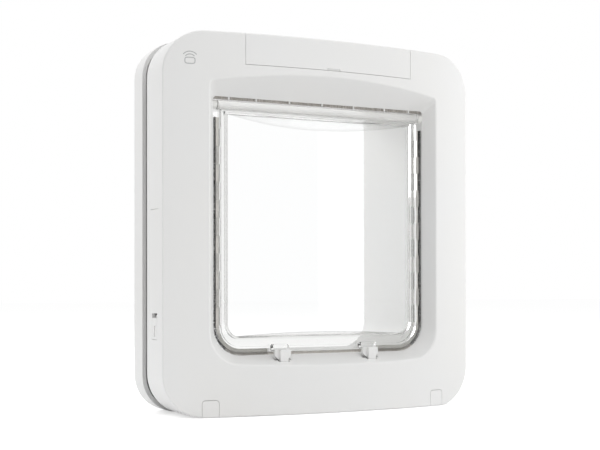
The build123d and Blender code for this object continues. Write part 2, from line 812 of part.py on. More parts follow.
with BuildPart() as contact_springs:
    with BuildSketch(Plane.YZ.offset(-bay_half)):
        with Locations((cell_y, row_height), (cell_y, row_height + row_pitch)):
            Circle(spring_radius)
    extrude(amount=contact_room, taper=spring_taper)
contact_springs.part.label = "contact_springs"
export_step(contact_springs.part, "parts/contact_springs.step")

# Memory button in the tray's ear, and the switch behind it
switch_front = tray_front + tray_wall
button_back = switch_front - button_travel - joint_gap
with BuildPart() as memory_button:
    with BuildSketch(to_room(button_back)):
        with Locations((button_x, ear_z)):
            Circle(button_radius)
    extrude(amount=button_back - tray_front + button_proud)
memory_button.part.label = "memory_button"
export_step(memory_button.part, "parts/memory_button.step")

with BuildPart() as memory_switch:
    with BuildSketch(to_outside(switch_front)):
        with Locations((-button_x, ear_z)):
            Rectangle(switch_size, switch_size)
    extrude(amount=switch_height)
memory_switch.part.label = "memory_switch"
export_step(memory_switch.part, "parts/memory_switch.step")

# Antenna coil wound round the inner tunnel
coil_back = -socket_depth - wall - coil_end_gap
with BuildPart() as antenna_coil:
    with BuildSketch(to_room(coil_back)):
        add(coil_outer)
        add(socket_inner, mode=Mode.SUBTRACT)
    extrude(amount=coil_width)
antenna_coil.part.label = "antenna_coil"
export_step(antenna_coil.part, "parts/antenna_coil.step")

# Circuit board on its posts, with the larger parts soldered to it
board_back = -wall - board_standoff
board_front = board_back - board_thickness
with BuildPart() as circuit_board:
    with BuildSketch(to_room(board_back)):
        with Locations((board_x, board_z)):
            Rectangle(board_width, board_height)
        with Locations(board_corners):
            Circle(board_screw_radius + running_gap, mode=Mode.SUBTRACT)
    extrude(amount=board_thickness)
    for rise, wide, high, deep in board_parts:
        with BuildSketch(to_room(board_front)):
            with Locations((board_x, board_z + rise)):
                Rectangle(wide, high)
        extrude(amount=deep)
circuit_board.part.label = "circuit_board"
export_step(circuit_board.part, "parts/circuit_board.step")

# Screws of the circuit board
with BuildPart() as board_screws:
    with BuildSketch(to_room(-wall)):
        with Locations(board_corners):
            Circle(board_screw_radius)
    extrude(amount=board_standoff + board_thickness)
    with BuildSketch(to_room(board_front)):
        with Locations(board_corners):
            Circle(2 * board_screw_radius)
    extrude(amount=board_thickness)
board_screws.part.label = "board_screws"
export_step(board_screws.part, "parts/board_screws.step")

# Long screws that clamp the two frames through the door
with BuildPart() as fixing_screws:
    with BuildSketch(to_room(-boss_length)):
        with Locations(fixings):
            Circle(screw_head_radius)
    extrude(amount=screw_head_height)
    with BuildSketch(to_room(door_gap + rim_depth - screw_end_gap)):
        with Locations(fixings):
            Circle(screw_radius)
    extrude(amount=door_gap + rim_depth - screw_end_gap + boss_length)
fixing_screws.part.label = "fixing_screws"
export_step(fixing_screws.part, "parts/fixing_screws.step")

# Countersunk screws that hold the back cover
with BuildPart() as case_screws:
    with BuildSketch(to_room(0)):
        with GridLocations(2 * case_x, 2 * case_z, 2, 2):
            Circle(case_head_radius)
    extrude(amount=case_head_radius - case_screw_radius, taper=45)
    with BuildSketch(to_room(0)):
        with GridLocations(2 * case_x, 2 * case_z, 2, 2):
            Circle(case_screw_radius)
    extrude(amount=case_screw_length)
case_screws.part.label = "case_screws"
export_step(case_screws.part, "parts/case_screws.step")
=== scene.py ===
# %% [markdown]
# # A microchip pet door
# The door is a bowed white unit for the room, a clear flap with brush edges, and a plain outside frame
# with a tunnel. The CAD solids already have these shapes, so they are loaded first as a fixed frame.
# Everything below only dresses them: camera, finishes, brush bristles, a small printed mark, the floor of a
# finger slot, and light.

# %% Load the fixed frame
import json
import math

import bpy
import numpy as np
from mathutils import Matrix, Vector


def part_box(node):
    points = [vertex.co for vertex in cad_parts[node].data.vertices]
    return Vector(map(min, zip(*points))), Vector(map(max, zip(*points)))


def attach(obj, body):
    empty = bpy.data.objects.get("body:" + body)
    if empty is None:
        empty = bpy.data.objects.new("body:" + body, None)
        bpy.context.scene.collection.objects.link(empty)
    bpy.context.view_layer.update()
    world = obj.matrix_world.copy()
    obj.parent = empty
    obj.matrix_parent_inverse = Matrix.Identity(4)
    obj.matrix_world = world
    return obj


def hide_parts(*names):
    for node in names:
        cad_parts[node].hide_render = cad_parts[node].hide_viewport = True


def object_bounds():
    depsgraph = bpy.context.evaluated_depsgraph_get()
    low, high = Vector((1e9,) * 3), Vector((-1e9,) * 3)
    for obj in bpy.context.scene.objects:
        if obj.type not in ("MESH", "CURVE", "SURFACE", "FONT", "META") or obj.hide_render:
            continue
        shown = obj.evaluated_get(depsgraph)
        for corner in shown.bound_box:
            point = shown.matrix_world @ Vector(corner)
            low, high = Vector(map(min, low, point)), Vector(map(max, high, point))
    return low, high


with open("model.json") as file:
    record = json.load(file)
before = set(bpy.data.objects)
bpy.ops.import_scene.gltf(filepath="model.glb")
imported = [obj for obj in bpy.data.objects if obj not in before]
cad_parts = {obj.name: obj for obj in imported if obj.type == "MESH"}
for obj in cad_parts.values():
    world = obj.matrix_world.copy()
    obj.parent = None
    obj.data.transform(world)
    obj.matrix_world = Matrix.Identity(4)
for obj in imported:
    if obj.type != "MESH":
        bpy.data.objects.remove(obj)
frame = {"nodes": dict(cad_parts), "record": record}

cad_low, cad_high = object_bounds()
mm = 0.001
print("CAD box:", [round(v, 4) for v in cad_low], [round(v, 4) for v in cad_high])

# %% [markdown]
# ## The camera
# The place of the camera could be guessed by eye. Here it was worked out from the edges of the door: both
# frames have straight, square sides, so their edges give the distance, the turn and the lens together.
# The camera stands to the left, a little under the middle, and looks almost level. The picture was cropped
# above the optical axis, which is what the vertical shift says.

# %% Camera
image_width_px = 600
focal_px = 1171.4
axis_row_px = 278.62
middle_row_px = 225.0
camera_place = (-0.41508, -0.83363, -0.04542)
turn = 0.4582
tilt = 0.0066
roll = -0.0012

camera_data = bpy.data.cameras.new("camera")
camera_data.sensor_fit = "HORIZONTAL"
camera_data.sensor_width = 36.0
camera_data.lens = focal_px / image_width_px * camera_data.sensor_width
camera_data.shift_y = (axis_row_px - middle_row_px) / image_width_px
camera = bpy.data.objects.new("camera", camera_data)
upright = Matrix.Rotation(math.pi / 2 + tilt, 4, "X")
look = Matrix.Rotation(-turn, 4, "Z") @ upright @ Matrix.Rotation(roll, 4, "Z")
camera.matrix_world = Matrix.Translation(camera_place) @ look
bpy.context.scene.collection.objects.link(camera)
bpy.context.scene.camera = camera
print("lens:", round(camera_data.lens, 2), "mm, shift:", round(camera_data.shift_y, 4))

# %% [markdown]
# ## Writing shader maths as sums
# A finish is easier to read as an expression than as a list of nodes and links. A small class wraps one
# output socket, and its operators add the Math nodes. One method of the class makes every other node.


# %% A wire that carries a value through a material
class Wire:
    """One output socket of a material. Sums, differences, products and quotients of wires make Math nodes."""

    def __init__(self, tree, socket=None):
        self.tree = tree
        self.socket = socket

    def node(self, kind, settings=None, sockets=None, out=0):
        """Adds a node of that kind, sets it up, fills or links its sockets, and gives one output's wire."""
        made = self.tree.nodes.new(kind)
        for name, value in (settings or {}).items():
            setattr(made, name, value)
        for name, value in (sockets or {}).items():
            if isinstance(value, Wire):
                self.tree.links.new(value.socket, made.inputs[name])
            else:
                made.inputs[name].default_value = value
        return Wire(self.tree, made.outputs[out] if made.outputs else None)

    def math(self, operation, first, second=0.0):
        """Adds a Math node; an operation on one value leaves the second at 0."""
        return self.node("ShaderNodeMath", {"operation": operation}, {0: first, 1: second})

    def __add__(self, other):
        return self.math("ADD", self, other)

    def __radd__(self, other):
        return self.math("ADD", other, self)

    def __sub__(self, other):
        return self.math("SUBTRACT", self, other)

    def __rsub__(self, other):
        return self.math("SUBTRACT", other, self)

    def __mul__(self, other):
        return self.math("MULTIPLY", self, other)

    def __rmul__(self, other):
        return self.math("MULTIPLY", other, self)

    def __truediv__(self, other):
        return self.math("DIVIDE", self, other)

    def __gt__(self, other):
        return self.math("GREATER_THAN", self, other)

    def __lt__(self, other):
        return self.math("LESS_THAN", self, other)


print("operators of a wire: + - * / > <")

# %% Helpers for every finish
def start_finish(name):
    """A new empty material: its wire for making nodes, and the wire of the piece's own coordinates."""
    material = bpy.data.materials.new(name)
    material.use_nodes = True
    material.node_tree.nodes.clear()
    pen = Wire(material.node_tree)
    place = pen.node("ShaderNodeTexCoord", out="Object")
    return material, pen, place


def end_finish(pen, sockets):
    """Joins a Principled surface with these sockets to the material's output."""
    surface = pen.node("ShaderNodeBsdfPrincipled", None, sockets)
    pen.node("ShaderNodeOutputMaterial", None, {"Surface": surface})


def noise(pen, place, scale, detail=2.0):
    """Smooth noise over the piece; scale is in patches per metre."""
    return pen.node("ShaderNodeTexNoise", None, {"Vector": place, "Scale": scale, "Detail": detail})


def axis(pen, place, letter):
    """One of the three coordinates of a place."""
    return pen.node("ShaderNodeSeparateXYZ", None, {"Vector": place}, out=letter)


def blend_colours(pen, amount, first, second):
    """A colour that goes from first to second as the wire goes from 0 to 1."""
    return pen.node("ShaderNodeMix", {"data_type": "RGBA"}, {0: amount, 6: first, 7: second}, out=2)


def bump(pen, height, depth, strength=1.0):
    """A normal that follows the height wire; depth is the real height of a step of 1, in metres."""
    return pen.node("ShaderNodeBump", None, {"Height": height, "Distance": depth, "Strength": strength})


print("shader helpers: start_finish, end_finish, noise, axis, blend_colours, bump")

# %% [markdown]
# ## White moulded plastic
# The housing is injection moulded: white, softly glossy, with a very fine spark texture and slow, faint
# changes of tone where the plastic flowed. One flat white would look like paper, so the colour drifts by
# about one per cent, the gloss by a few, and a fine bump breaks up the reflections.


# %% Finishes of white plastic
warm_shift = (1.0, 0.992, 0.975)
cool_shift = (0.985, 0.992, 1.0)
plastic_ior = 1.49


def white_moulding(name, colour, roughness, grain_depth):
    """Moulded plastic: slow tone drift, gloss that varies a little, and a fine spark texture."""
    material, pen, place = start_finish(name)
    drift = noise(pen, place, 14.0)
    grain = noise(pen, place, 2600.0, 1.0)
    warm = tuple(c * f for c, f in zip(colour, warm_shift)) + (1.0,)
    cool = tuple(c * f for c, f in zip(colour, cool_shift)) + (1.0,)
    end_finish(pen, {
        "Base Color": blend_colours(pen, drift, warm, cool),
        "Roughness": roughness - 0.05 + drift * 0.08 + grain * 0.03,
        "Normal": bump(pen, grain, grain_depth),
        "IOR": plastic_ior,
    })
    return material


white_gloss = white_moulding("white_gloss", (0.87, 0.87, 0.865), 0.34, 0.00002)
white_nylon = white_moulding("white_nylon", (0.83, 0.83, 0.81), 0.55, 0.00004)
print("white finishes:", white_gloss.name, white_nylon.name)

# %% [markdown]
# ## Clear plastic
# The flap is one clear moulding. A transmissive Principled surface on the closed solid bends light as the
# real piece does, so its rim and its closures draw their own lines. A weak, slow bump stands for flow marks.
# The flap's colour is also greyed by position: in the rim the grey is partly the plastic's own tint where it
# is thick and partly painted shade, and round the window's outline, along its creases and on its foot slope
# it is painted shade, worked out from the piece's own coordinates. Below the window's foot a deeper painted
# shade darkens the bright floor seen through the flap. The hinge barrel is a little milky.


# %% Outline of the window, and grey tint and painted shade of the clear plastic
window_half = 79.0 * mm
window_top = 83.3 * mm
window_foot = -83.4 * mm
window_corner = 10.9 * mm
step_width = 1.6 * mm
head_closure = 7.0 * mm
foot_closure = 3.0 * mm
crease_width = 0.7 * mm
barrel_foot = 86.0 * mm
# Greys of the clear plastic: in the rim partly its own tint and partly painted shade; along the window's
# outline, creases and foot slope painted shade.
rim_tint_and_shade_grey, outline_shade_grey, crease_shade_grey, slope_shade_grey = 0.55, 0.45, 0.5, 0.4
barrel_milkiness = 0.45
clear_colour = (0.985, 0.99, 0.99, 1.0)
tint_and_shade_colour = (0.74, 0.74, 0.73, 1.0)
# Deeper grey below the window's foot: painted shade that darkens the bright floor seen through the flap.
foot_shade_colour = (0.6, 0.6, 0.585, 1.0)
milky_colour = (0.96, 0.95, 0.93, 1.0)
print("window:", round(2 * window_half / mm), "by", round((window_top - window_foot) / mm, 1), "mm")


# %% Finish of the clear flap
def clear_moulding(name):
    """Clear plastic: almost smooth, greyer in the rim and round the window, milky in the barrel.

    With dx and dz the way past the middles of the corner circles, sqrt(dx^2 + dz^2) - corner is 0 on the
    window's outline and grows into the rim. The bulge closes at head and foot along creases whose height
    follows bow = 1 - (x / half)^2. The grey is painted shade along the outline, the creases and the foot
    slope, a deeper painted shade below the foot, and in the rim partly the plastic's tint and partly painted
    shade.
    """
    material, pen, place = start_finish(name)
    flow = noise(pen, place, 18.0)
    x = pen.math("ABSOLUTE", axis(pen, place, "X"))
    z = axis(pen, place, "Z")
    dx = pen.math("MAXIMUM", x - (window_half - window_corner), 0.0)
    dz = pen.math("MAXIMUM", window_foot + window_corner - z, 0.0)
    sides_and_foot = pen.math("SQRT", dx * dx + dz * dz) - window_corner
    past = pen.math("MAXIMUM", sides_and_foot, z - window_top)
    step = pen.math("MAXIMUM", 1.0 - pen.math("ABSOLUTE", past) / step_width, 0.0)
    bow = 1.0 - x * x / window_half**2
    head_way = pen.math("ABSOLUTE", z - window_top + head_closure * bow)
    crease_shade = pen.math("MAXIMUM", 1.0 - head_way / crease_width, 0.0) * (past < 0.0)
    foot_slope_shade = (z < window_foot + foot_closure * bow) * (past < 0.0)
    rim = (past > 0.0) * (z < barrel_foot)
    # Painted shade along the window's outline, creases and foot slope; in the rim partly the plastic's tint,
    # partly painted shade.
    tint_and_painted_shade = rim * rim_tint_and_shade_grey + step * outline_shade_grey + crease_shade * crease_shade_grey + foot_slope_shade * slope_shade_grey
    # Below the window's foot the grey is the deeper painted shade.
    grey = blend_colours(pen, z < window_foot + foot_closure, tint_and_shade_colour, foot_shade_colour)
    clear = pen.node("ShaderNodeBsdfPrincipled", None, {
        "Base Color": blend_colours(pen, tint_and_painted_shade, clear_colour, grey),
        "Roughness": 0.01 + flow * 0.02,
        "Normal": bump(pen, flow, 0.0001, 0.1),
        "Transmission Weight": 1.0,
        "IOR": plastic_ior,
    })
    milky = pen.node("ShaderNodeBsdfPrincipled", None, {"Base Color": milky_colour, "Roughness": 0.4})
    share = (z > barrel_foot) * barrel_milkiness
    mixed = pen.node("ShaderNodeMixShader", None, {0: share, 1: clear, 2: milky})
    pen.node("ShaderNodeOutputMaterial", None, {"Surface": mixed})
    return material


clear_plastic = clear_moulding("clear_plastic")
print("clear finish:", clear_plastic.name)

# %% [markdown]
# ## Finishes of the inner pieces
# Few of these show in a picture of the closed door, but the battery bay and the screw pockets open, so each
# piece has its own finish: plated steel with fine brushing, a dark solenoid case, plain cell sleeves with
# bright ends, a green board with pads, a copper winding and black plastic.


# %% Plated steel and dark paint
def plated_steel(name):
    """Plated steel: bright, with fine brushing along one way."""
    material, pen, place = start_finish(name)
    along = pen.node("ShaderNodeMapping", None, {"Vector": place, "Scale": (300.0, 4000.0, 300.0)})
    brushing = noise(pen, along, 1.0)
    end_finish(pen, {
        "Base Color": blend_colours(pen, brushing, (0.56, 0.56, 0.57, 1.0), (0.68, 0.68, 0.68, 1.0)),
        "Roughness": 0.24 + brushing * 0.14,
        "Metallic": 1.0,
        "Normal": bump(pen, brushing, 0.00002),
    })
    return material


def dark_paint(name):
    """Dark baked paint with a fine orange-peel surface."""
    material, pen, place = start_finish(name)
    peel = noise(pen, place, 900.0)
    end_finish(pen, {
        "Base Color": blend_colours(pen, peel, (0.13, 0.13, 0.14, 1.0), (0.18, 0.18, 0.19, 1.0)),
        "Roughness": 0.38 + peel * 0.1,
        "Normal": bump(pen, peel, 0.00004),
    })
    return material


inner_finishes = {"steel": plated_steel("steel"), "solenoid_case": dark_paint("solenoid_case")}
print("metal finishes:", ", ".join(inner_finishes))

# %% Cell sleeves
cell_length = 0.0505
sleeve_start = 0.0012
sleeve_end = 0.0493


def cell_sleeve(name):
    """Dark sleeve round a cell, bright metal where the ends show beyond it."""
    material, pen, place = start_finish(name)
    scuff = noise(pen, place, 220.0)
    along = pen.math("PINGPONG", axis(pen, place, "X"), cell_length)
    ends = (along < sleeve_start) + (along > sleeve_end)
    end_finish(pen, {
        "Base Color": blend_colours(pen, ends, (0.09, 0.09, 0.1, 1.0), (0.66, 0.66, 0.66, 1.0)),
        "Roughness": 0.26 + scuff * 0.12,
        "Metallic": ends,
        "Normal": bump(pen, scuff, 0.00003),
    })
    return material


inner_finishes["cell_sleeve"] = cell_sleeve("cell_sleeve")
print("cells:", round(cell_length / mm, 1), "mm long")

# %% Board, winding and black plastic
pad_half = 0.16
wire_half = 0.0002


def lacquered_board(name):
    """Green lacquer with tinned pads in rows and a faint weave."""
    material, pen, place = start_finish(name)
    weave = noise(pen, place, 1500.0)
    rows = pen.node("ShaderNodeTexVoronoi", {"distance": "CHEBYCHEV"},
                    {"Vector": place, "Scale": 260.0, "Randomness": 0.35})
    pads = rows < pad_half
    end_finish(pen, {
        "Base Color": blend_colours(pen, pads, (0.035, 0.19, 0.09, 1.0), (0.62, 0.6, 0.52, 1.0)),
        "Roughness": 0.3 + weave * 0.15,
        "Metallic": pads * 0.8,
        "Normal": bump(pen, weave, 0.00003),
    })
    return material


def copper_winding(name):
    """Varnished copper wire laid turn beside turn round the tunnel."""
    material, pen, place = start_finish(name)
    # The wave across each turn is painted shade: darkest in the groove between turns, brightest on the crown.
    # It also gives the bump.
    groove_shade_and_height = pen.math("PINGPONG", axis(pen, place, "Y"), wire_half) / wire_half
    gloss = noise(pen, place, 120.0)
    end_finish(pen, {
        "Base Color": blend_colours(pen, groove_shade_and_height, (0.30, 0.13, 0.06, 1.0), (0.72, 0.36, 0.17, 1.0)),
        "Roughness": 0.25 + gloss * 0.15,
        "Metallic": 1.0,
        "Normal": bump(pen, groove_shade_and_height, 0.0001),
    })
    return material


def black_moulding(name):
    """Black plastic with a fine matt grain."""
    material, pen, place = start_finish(name)
    grain = noise(pen, place, 1800.0)
    end_finish(pen, {
        "Base Color": blend_colours(pen, grain, (0.022, 0.022, 0.023, 1.0), (0.04, 0.04, 0.042, 1.0)),
        "Roughness": 0.45 + grain * 0.15,
        "Normal": bump(pen, grain, 0.00003),
    })
    return material


inner_finishes.update({
    "board_green": lacquered_board("board_green"),
    "copper": copper_winding("copper"),
    "black_plastic": black_moulding("black_plastic"),
})
print("inner finishes:", ", ".join(inner_finishes))

# %% [markdown]
# ## Brush pile
# Thin black filaments seal the flap's sides. The pile over the hinge and along the foot is grey. Each
# filament is slightly its own tone, and the black ones stand in a pale woven backing. The tone comes from a
# number stored on the mesh, so it stays with the filament in any pose: 0 to 1 for black filaments, 2 for
# the backing, and 3 to 4 for grey filaments.


# %% Finish of the brush pile
backing_tone = 2.0
grey_tone = 3.0


def pile(name):
    """Nylon filaments that differ in tone and gloss, black or grey, and a pale woven backing."""
    material, pen, place = start_finish(name)
    tone = pen.node("ShaderNodeAttribute", {"attribute_name": "filament"}, out="Fac")
    backing = tone > backing_tone - 0.5
    weave = noise(pen, place, 1600.0)
    black = blend_colours(pen, tone, (0.008, 0.008, 0.008, 1.0), (0.05, 0.047, 0.044, 1.0))
    cloth = blend_colours(pen, weave, (0.55, 0.53, 0.49, 1.0), (0.85, 0.83, 0.79, 1.0))
    grey = blend_colours(pen, tone - grey_tone, (0.45, 0.42, 0.39, 1.0), (0.85, 0.82, 0.78, 1.0))
    dark_strip = blend_colours(pen, backing, black, cloth)
    end_finish(pen, {
        "Base Color": blend_colours(pen, tone > grey_tone - 0.5, dark_strip, grey),
        "Roughness": 0.45 + weave * 0.3,
        "Normal": bump(pen, weave * backing, 0.0001),
        "IOR": 1.53,
    })
    return material


black_pile = pile("black_pile")
print("pile finish:", black_pile.name)

# %% Finishes on the CAD nodes
finishes = {"white_gloss": white_gloss, "white_nylon": white_nylon, "clear_plastic": clear_plastic,
            "black_pile": black_pile, **inner_finishes}
for row in frame["record"]["subparts"]:
    node = frame["nodes"][row["node"]]
    node.material_slots[0].material = finishes[row["material_slot"]]

# %% [markdown]
# ## Putting arrays into a mesh
# Every new piece is worked out as whole arrays of points and faces. One function puts them into a mesh with
# its finish, stands it in the CAD frame, says which body it rides on, and hides the CAD nodes it stands for.


# %% Mesh from arrays
def add_piece(name, points, faces, finish, body, replaced=(), tones=None):
    """A mesh from an array of points (metres) and arrays of faces; tones give one number to each point."""
    mesh = bpy.data.meshes.new(name)
    mesh.from_pydata(points.tolist(), [], [face for group in faces for face in group.tolist()])
    if tones is not None:
        mesh.attributes.new("filament", "FLOAT", "POINT").data.foreach_set("value", tones.astype(np.float32))
    mesh.update()
    mesh.materials.append(finish)
    piece = bpy.data.objects.new(name, mesh)
    bpy.context.scene.collection.objects.link(piece)
    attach(piece, body)
    for node in replaced:
        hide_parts(node)
    print(f"{name}: {len(points)} points, {len(mesh.polygons)} faces, rides on {body}")
    return piece


print("mesh helper: add_piece")

# %% Many filaments at once
filament_sides = 3
filament_steps = np.array([0.0, 0.55, 1.0])
filament_taper = np.array([1.0, 0.9, 0.45])
filament_bend = 0.06


def join(parts):
    """One array of points, one list of face arrays and one of tones from several such sets."""
    starts = np.cumsum([0] + [len(points) for points, faces, tones in parts[:-1]])
    return (np.concatenate([points for points, faces, tones in parts]),
            [face + start for start, (points, faces, tones) in zip(starts, parts) for face in faces],
            np.concatenate([tones for points, faces, tones in parts]))


def filaments(roots, tips, radius, seed):
    """Points, faces and tones of many tapered three-sided prisms from roots to tips, closed at both ends.

    Ring k of a filament is at root + (tip - root) * t_k plus a small bend 4 t_k (1 - t_k), on a circle of
    radius * taper_k across the filament.
    """
    draws = np.random.default_rng(seed)
    sides, steps, taper = filament_sides, filament_steps, filament_taper
    count = len(roots)
    along = tips - roots
    length = np.linalg.norm(along, axis=1, keepdims=True)
    along = along / length
    helper = np.where(np.abs(along[:, 1:2]) < 0.9, np.array([[0.0, 1.0, 0.0]]), np.array([[1.0, 0.0, 0.0]]))
    first = np.cross(along, helper)
    first = first / np.linalg.norm(first, axis=1, keepdims=True)
    second = np.cross(along, first)
    angle = np.arange(sides) * 2 * np.pi / sides
    circle = (np.cos(angle)[None, :, None] * first[:, None, :]
              + np.sin(angle)[None, :, None] * second[:, None, :])
    bend = draws.normal(0, filament_bend, (count, 1)) * length * second
    core = (roots[:, None, :] + (tips - roots)[:, None, :] * steps[None, :, None]
            + bend[:, None, :] * (4 * steps * (1 - steps))[None, :, None])
    points = core[:, :, None, :] + radius * taper[None, :, None, None] * circle[:, None, :, :]
    number = np.arange(count * len(steps) * sides).reshape(count, len(steps), sides)
    after = np.roll(number, -1, axis=2)
    walls = np.stack([number[:, :-1], after[:, :-1], after[:, 1:], number[:, 1:]], -1).reshape(-1, 4)
    caps = np.concatenate([number[:, 0, ::-1], number[:, -1]])
    tones = np.repeat(draws.random(count), len(steps) * sides)
    return points.reshape(-1, 3), [walls, caps], tones


print("filaments:", filament_sides, "sides,", len(filament_steps), "rings")

# %% [markdown]
# ## Brushes along the flap
# On each side a woven strip is held between the front and the back tabs of the flap's edge, and its pile
# reaches to the wall, down the side and round the lower corner. The path is a straight line and a quarter
# circle, so a point at length s along it and its outward direction have a simple formula. The backing is a
# profile carried along that path, and three rows of filaments start on it. They lean towards the room,
# because the flap mostly swings the other way.

# %% Path of the side brushes
brush_low, brush_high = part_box("flap_brush_right")
strip_reach = 5.2 * mm
edge_corner = 17.0 * mm
backing_reach = 2.8 * mm
backing_thickness = 1.2 * mm
pile_lean = 1.3 * mm
edge_x = brush_high[0] - strip_reach
edge_z = brush_low[2] + strip_reach
brush_y = (brush_low[1] + brush_high[1]) / 2
edge_straight = brush_high[2] - edge_z - edge_corner
edge_arc = edge_corner * math.pi / 2
edge_total = edge_straight + edge_arc + edge_x - edge_corner - brush_low[0]


def flap_edge(s):
    """Points (x, z) and outward directions on the flap's right edge at lengths s from the top of the pile.

    Down the side x = edge_x; then a quarter circle of radius edge_corner; then along the foot towards x = 0.
    """
    angle = np.clip((s - edge_straight) / edge_corner, 0, np.pi / 2)
    x = edge_x - edge_corner + edge_corner * np.cos(angle) - np.maximum(s - edge_straight - edge_arc, 0)
    z = edge_z + edge_corner - edge_corner * np.sin(angle) + np.maximum(edge_straight - s, 0)
    return np.stack([x, z], 1), np.stack([np.cos(angle), -np.sin(angle)], 1)


print("brush path:", round(edge_total / mm, 1), "mm on each side")

# %% Backing strip
backing_sides = 12


def backing(at, out, turned):
    """Backing strip: a rounded bar section, reach outwards and thickness in depth, carried along the path."""
    angle = np.arange(backing_sides) * 2 * np.pi / backing_sides
    reach = backing_reach * (0.5 + 0.5 * np.sign(np.cos(angle)) * np.abs(np.cos(angle)) ** 0.5)
    depth = brush_y + backing_thickness / 2 * np.sign(np.sin(angle)) * np.abs(np.sin(angle)) ** 0.5
    across = at[:, None, :] + out[:, None, :] * reach[None, :, None]
    points = np.stack([across[..., 0], np.broadcast_to(depth, across.shape[:2]), across[..., 1]], -1)
    number = np.arange(len(at) * backing_sides).reshape(len(at), backing_sides)
    after = np.roll(number, -1, axis=1)
    walls = np.stack([number[:-1], number[1:], after[1:], after[:-1]], -1).reshape(-1, 4)
    caps = np.stack([number[0], number[-1, ::-1]])
    faces = [walls[:, ::-1], caps[:, ::-1]] if turned else [walls, caps]
    return points.reshape(-1, 3), faces, np.full(points.size // 3, backing_tone)


print("backing:", round(backing_reach / mm, 1), "by", round(backing_thickness / mm, 1), "mm")

# %% Side brushes
pile_rows = np.array([-0.4, 0.0, 0.4]) * mm
pile_pitch = 0.22 * mm
pile_radius = 0.11 * mm
pile_unevenness = 0.4 * mm
pile_slant = 0.07
first_root = 0.1 * mm
root_depth = 0.3 * mm
root_jitter = 0.04 * mm
tip_jitter = 0.12 * mm
pitch_jitter_mm = 0.1
foot_from = 0.6
foot_tone_range = 0.3
backing_stations = 160


def standing_pile(at, out, lean, reach, seed):
    """Roots and tips of filaments at points (x, z) with outward directions: three rows, jittered."""
    draws = np.random.default_rng(seed)
    count = len(at)
    row = np.tile(pile_rows, count // len(pile_rows))
    slant = np.stack([-out[:, 1], out[:, 0]], 1) * draws.normal(0, pile_slant, (count, 1))
    tip = at + (out + slant) * (reach - draws.uniform(0.0, pile_unevenness, (count, 1)))
    root = at + out * (backing_reach - root_depth)
    root_y = brush_y + row + draws.normal(0, root_jitter, count)
    tip_y = root_y - lean + draws.normal(0, tip_jitter, count)
    return np.column_stack([root[:, 0], root_y, root[:, 1]]), np.column_stack([tip[:, 0], tip_y, tip[:, 1]])


def side_brush(side, seed):
    """Backing and filaments of one side: the path of the right side, mirrored for the left one.

    Past the share foot_from of the corner's arc, the pile is the grey one of the foot.
    """
    mirror = np.array([side, 1.0])
    even_at, even_out = flap_edge(np.linspace(0.0, edge_total, backing_stations))
    draws = np.random.default_rng(seed)
    s = np.repeat(np.arange(first_root, edge_total, pile_pitch), len(pile_rows))
    jitter = draws.uniform(-pitch_jitter_mm, pitch_jitter_mm, len(s)) * mm
    at, out = flap_edge(np.clip(s + jitter, 0, edge_total))
    roots, tips = standing_pile(at * mirror, out * mirror, pile_lean, strip_reach, seed + 10)
    points, faces, tones = filaments(roots, tips, pile_radius, seed)
    at_foot = np.repeat(s > edge_straight + foot_from * edge_arc, len(points) // len(s))
    tones = np.where(at_foot, grey_tone + foot_tone_range * tones, tones)
    return join([backing(even_at * mirror, even_out * mirror, side < 0), (points, faces, tones)])


for side, name, seed in ((-1, "left", 3), (1, "right", 4)):
    points, faces, tones = side_brush(side, seed)
    add_piece(f"bristles_{name}", points, faces, black_pile, "flap",
              (f"flap_brush_{name}",), tones)

# %% [markdown]
# ## Brushes over the hinge and along the foot
# Two more strips of the same filaments close the flap: one hangs under the lintel just over the hinge, and a
# short one stands behind the clear lip at the foot. Both are flat curtains, so their roots are a plain grid
# over the strip's upper side, and every tip ends near its lower side.


# %% Curtains of filaments
curtain_pitch = 0.3 * mm
curtain_inset = 0.2 * mm
curtain_radius = 0.12 * mm
curtain_jitter_mm = 0.09
curtain_unevenness_mm = 0.4
curtain_sway_mm = 0.08
pale_share = 0.6


def curtain(name, node, body, rows, tone, seed):
    """Filaments that hang from a grid over a CAD strip's upper side: x by the pitch, y in rows, jittered."""
    low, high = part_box(node)
    draws = np.random.default_rng(seed)
    across = np.arange(low[0] + curtain_inset, high[0], curtain_pitch)
    deep = np.linspace(low[1] + curtain_inset, high[1] - curtain_inset, rows)
    grid = np.stack(np.meshgrid(across, deep, indexing="ij"), -1).reshape(-1, 2)
    grid = grid + draws.uniform(-curtain_jitter_mm, curtain_jitter_mm, grid.shape) * mm
    roots = np.column_stack([grid, np.full(len(grid), high[2])])
    drop = high[2] - low[2] - draws.uniform(0.0, curtain_unevenness_mm, len(grid)) * mm
    sway = draws.normal(0, curtain_sway_mm, (len(grid), 2)) * mm
    tips = roots + np.column_stack([sway, -drop])
    points, faces, tones = filaments(roots, tips, curtain_radius, seed + 1)
    add_piece(name, points, faces, black_pile, body, (node,), tones + tone)


curtain("bristles_hinge", "hinge_brush", "housing", 6, grey_tone, 8)
curtain("bristles_foot", "flap_brush_foot", "flap", 4, grey_tone + pale_share, 15)

# %% [markdown]
# ## A small printed mark
# A small grey sign is printed on the upper left corner of the face: a plain box with two waves over it. It
# could be a picture on the face, but here each stroke is a narrow ribbon laid on the bow, a grid of points
# along and across the stroke. The print then follows the bow exactly, and Solidify gives the ink its
# thickness.

# %% The bowed face and a stroke on it (in mm)
bow_half = 131.0
bow_depth = 16.5
side_depth = 34.0
bow_radius = (bow_half**2 + bow_depth**2) / (2 * bow_depth)
ink_proud = 0.02
ink_width = 0.7


def face_y(x):
    """Depth of the bowed face at x, in mm: a circle of bow_radius through the two side edges."""
    return -side_depth - bow_depth + bow_radius - np.sqrt(bow_radius**2 - x**2)


